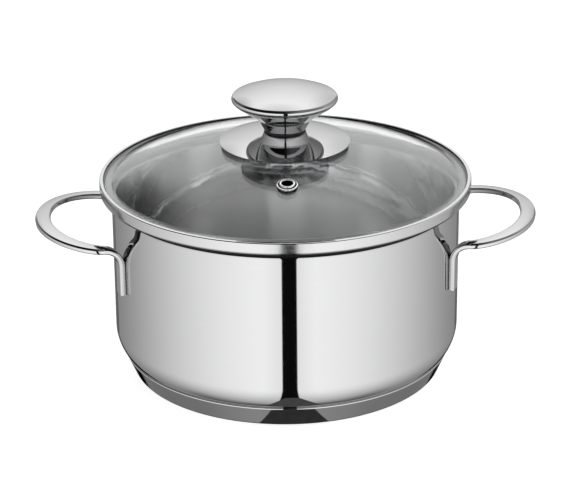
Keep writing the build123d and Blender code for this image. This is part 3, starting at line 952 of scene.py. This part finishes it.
# %% Band
band_low, band_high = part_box("lid_rim_band")
band_sheet = 0.4 * MM
band_bend = 1.1 * MM
band_top_bend = 0.6 * MM
band_lip_width = 1.7 * MM
band_lip_edge = 0.05 * MM
seat_gap = 0.2 * MM
skirt_gap = 0.7 * MM
skirt_hem = 1.1 * MM
hem_bend = 0.6 * MM
hem_edge = 0.15 * MM
hem_height = 1.2 * MM
lip_height = 0.62 * MM
lip_tilt = 0.15
band_lean = 0.3
band_bottom = bowl_high.z + seat_gap
band_lip = band_high.x - band_lip_width
skirt_radius = wall_radius - wall_sheet - skirt_gap
band = turned("lid_band", pressed([
    (skirt_radius - skirt_hem, band_low.z),
    (skirt_radius, band_low.z, hem_bend),
    (skirt_radius, band_bottom, band_bend),
    (band_high.x, band_bottom, band_bend),
    (band_high.x, band_high.z, band_top_bend),
    (band_lip, band_high.z, band_lip_edge),
], band_sheet, hem_edge), band_steel)


def band_finish(face):
    """Painted highlight at the two edges, painted shade inside, and brushed elsewhere."""
    looks_in = looks_inwards(face, band_lean)
    at_lip = face.center.z > band_high.z - lip_height and (looks_in or face.normal.z > lip_tilt)
    if at_lip or face.center.z < band_low.z + hem_height:
        # The hem and the upper edge take the painted highlight.
        return painted_highlight_edge_steel
    in_channel = face.normal.z > band_lean and face.center.z < band_bottom + band_bend
    # The skirt and the channel take the painted shade.
    return painted_shade_skirt_steel if looks_in or in_channel else band_steel


refinish(band, (band_steel, painted_shade_skirt_steel, painted_highlight_edge_steel), band_finish)
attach(band, "lid")
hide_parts("lid_rim_band")
print("band", round(2 * band_high.x / MM, 1), "mm across")

# %% [markdown]
# ## Steam vent
#
# The vent is an eyelet that is crimped through the glass on a silicone grommet. Its flange is a small
# polished ring with a groove and a rounded brow, brightened with a painted highlight, and the groove and the
# bore are near black with painted shade. It is turned on its own axis and then set square to the dome.

# %% Vent
vent_bore = 2.5 * MM
vent_wall = 0.5 * MM
grommet_lip = 0.4 * MM
flange_reach = 4.8 * MM
flange_rise = 0.6 * MM
groove_reach = 4.2 * MM
groove_rise = 0.35 * MM
brow_reach = 3.6 * MM
brow_foot = 0.8 * MM
brow_rise = 1.3 * MM
crimp_reach = 4.1 * MM
crimp_rise = 0.5 * MM
groove_slant = 0.1 * MM
ring_edge = 0.25 * MM
brow_edge = 0.5 * MM
mouth_edge = 0.45 * MM
bore_slack = 0.02 * MM
groove_slack = 0.05 * MM
vent_under = -glass_sheet - grommet_lip
eyelet = turned("vent_ring", rounded([
    (vent_bore, vent_under - crimp_rise),
    (crimp_reach, vent_under - crimp_rise, ring_edge),
    (crimp_reach, vent_under),
    (vent_bore + vent_wall, vent_under),
    (vent_bore + vent_wall, grommet_lip),
    (flange_reach, grommet_lip),
    (flange_reach, grommet_lip + flange_rise, ring_edge),
    (groove_reach, grommet_lip + flange_rise, ring_edge),
    (groove_reach - groove_slant, grommet_lip + groove_rise),
    (brow_reach, grommet_lip + brow_foot),
    (brow_reach, grommet_lip + brow_rise, brow_edge),
    (vent_bore, grommet_lip + brow_rise, mouth_edge),
]), painted_highlight_vent_steel)


def vent_finish(face):
    """Painted shade in the bore and the groove, and polished with a painted highlight elsewhere."""
    reach = face.center.to_2d().length
    in_bore = reach < vent_bore + bore_slack
    in_groove = brow_reach - groove_slack < reach < groove_reach and face.center.z < grommet_lip + brow_foot
    # The bore and the groove take painted shade, and the rest takes the vent steel with its painted
    # highlight.
    return painted_shade_steel if in_bore or in_groove else painted_highlight_vent_steel


refinish(eyelet, (painted_highlight_vent_steel, painted_shade_steel), vent_finish)
eyelet.matrix_world = vent_place
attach(eyelet, "lid")
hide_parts("vent_eyelet")
print("vent at", [round(x / MM, 1) for x in vent_place.translation], "mm")

# %% [markdown]
# ## Knob
#
# The knob is two pressings that are closed at the rim: a shallow dome above, and below it a neck that narrows
# to a waist and stands on a small foot. Both are polished. The dome is one arc that runs into the rim's own
# small radius, so the two are drawn as arcs that share a tangent.

# %% Knob
knob_low, knob_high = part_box("knob_cap")
foot_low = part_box("knob_neck")[0]
knob_sheet = 0.8 * MM
knob_rim = 1.8 * MM
screw_room = 2.75 * MM
foot_reach = 9.65 * MM
foot_bend = 1.2 * MM
waist_reach = 12.6 * MM
waist_rise = 5.4 * MM
waist_bend = 5.0 * MM
neck_edge = 0.1 * MM
ring_round = 0.2 * MM
rim_center = (knob_high.x - knob_rim, knob_low.z + knob_rim)
crown_rise = knob_high.z - rim_center[1]
crown = (crown_rise ** 2 + rim_center[0] ** 2 - knob_rim ** 2) / (2 * (crown_rise - knob_rim))
crown_center = (0, knob_high.z - crown)
crown_meet = atan2(rim_center[0], rim_center[1] - crown_center[1])
knob_section = arc(crown_center, crown - knob_sheet, 0, crown_meet)
knob_section += arc(rim_center, knob_rim - knob_sheet, crown_meet, pi)
knob_section += arc(rim_center, knob_rim, pi, crown_meet)
knob_section += arc(crown_center, crown, crown_meet, 0)[1:]
knob_cap = turned("knob_dome", knob_section, mirror_steel)

waist = (waist_reach, foot_low.z + waist_rise)
neck_slope = (knob_low.z - waist[1]) / (rim_center[0] + knob_sheet - waist[0])
neck_top = (rim_center[0], waist[1] + neck_slope * (rim_center[0] - waist[0]))
knob_neck = turned("knob_stem", pressed([
    (screw_room, foot_low.z),
    (foot_reach, foot_low.z, foot_bend),
    (*waist, waist_bend),
    neck_top,
], knob_sheet, neck_edge), mirror_steel)

ring_low, ring_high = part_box("knob_neck_ring")
neck_ring = turned("knob_stem_ring", rounded([
    (screw_room, ring_low.z),
    (ring_high.x, ring_low.z, ring_round),
    (ring_high.x, ring_high.z, ring_round),
    (screw_room, ring_high.z),
]), black_silicone)
for piece, node, slot in (
    (knob_cap, "knob_cap", "polished_steel"),
    (knob_neck, "knob_neck", "polished_steel"),
    (neck_ring, "knob_neck_ring", "black_silicone"),
):
    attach(piece, "lid")
    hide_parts(node)
print("knob", round(2 * knob_high.x / MM, 1), "mm across, crown radius", round(crown / MM, 1), "mm")

# %% [markdown]
# ## Disc under the knob
#
# A polished disc spreads the knob's load on a silicone collar, and it shields the fingers from the hot glass.
# It is flat in the middle and falls away as part of a sphere, so it mirrors the neck as a stretched bell.

# %% Disc and collar
disc_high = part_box("knob_disc")[1]
disc_sheet = 0.8 * MM
disc_flat = 10.4 * MM
disc_drop = 5.1 * MM
collar_sink = 0.3 * MM
to_flat = ((disc_high.x ** 2 - disc_flat ** 2) / disc_drop + disc_drop) / 2
disc_crown = hypot(to_flat, disc_flat)
disc_center = (0, disc_high.z - to_flat)
disc_back = disc_crown - disc_sheet
disc_end = asin(disc_high.x / disc_crown)
disc_underside = disc_high.z - disc_sheet
disc_section = [Vector((screw_room, disc_underside))]
disc_section += arc(disc_center, disc_back, acos((to_flat - disc_sheet) / disc_back), disc_end)
disc_section += arc(disc_center, disc_crown, disc_end, asin(disc_flat / disc_crown))
disc_section += [Vector((screw_room, disc_high.z))]
knob_disc = turned("knob_shield_disc", disc_section, mirror_steel)

collar_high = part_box("disc_collar")[1]
collar = turned("disc_seat_collar", rounded([
    (screw_room, dome_top),
    (collar_high.x, dome_top - collar_sink),
    (collar_high.x, disc_underside),
    (screw_room, disc_underside),
]), milky_silicone)
for piece, node, slot in (
    (knob_disc, "knob_disc", "polished_steel"),
    (collar, "disc_collar", "clear_silicone"),
):
    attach(piece, "lid")
    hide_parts(node)
print("disc", round(2 * disc_high.x / MM, 1), "mm across")

# %% [markdown]
# ## Pieces that stay as CAD solids
#
# The aluminium disc, the seals, the screw and its washers are hidden or nearly so, and their CAD shapes are
# right. They only need their finishes.

# %% Hidden pieces
for node, finish in (
    ("base_heat_spreader", aluminium),
    ("lid_rim_seal", milky_silicone),
    ("vent_gasket", milky_silicone),
    ("lower_gasket", milky_silicone),
    ("knob_nut", plain_steel),
    ("cup_washer", plain_steel),
    ("lock_washer", plain_steel),
    ("knob_screw", plain_steel),
):
    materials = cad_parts[node].data.materials
    materials.clear()
    materials.append(finish)
    print(node, "takes", finish.name)

# %% [markdown]
# ## Picture settings
#
# The photograph has plain contrast, so the view transform is Standard. Light has to pass the glass four times
# on its way in and out of the pot, so there are more bounces than usual.

# %% Picture settings
scene = bpy.context.scene
scene.view_settings.view_transform = "Standard"
scene.cycles.use_denoising = True
scene.cycles.max_bounces = 24
scene.cycles.glossy_bounces = 12
scene.cycles.transmission_bounces = 16
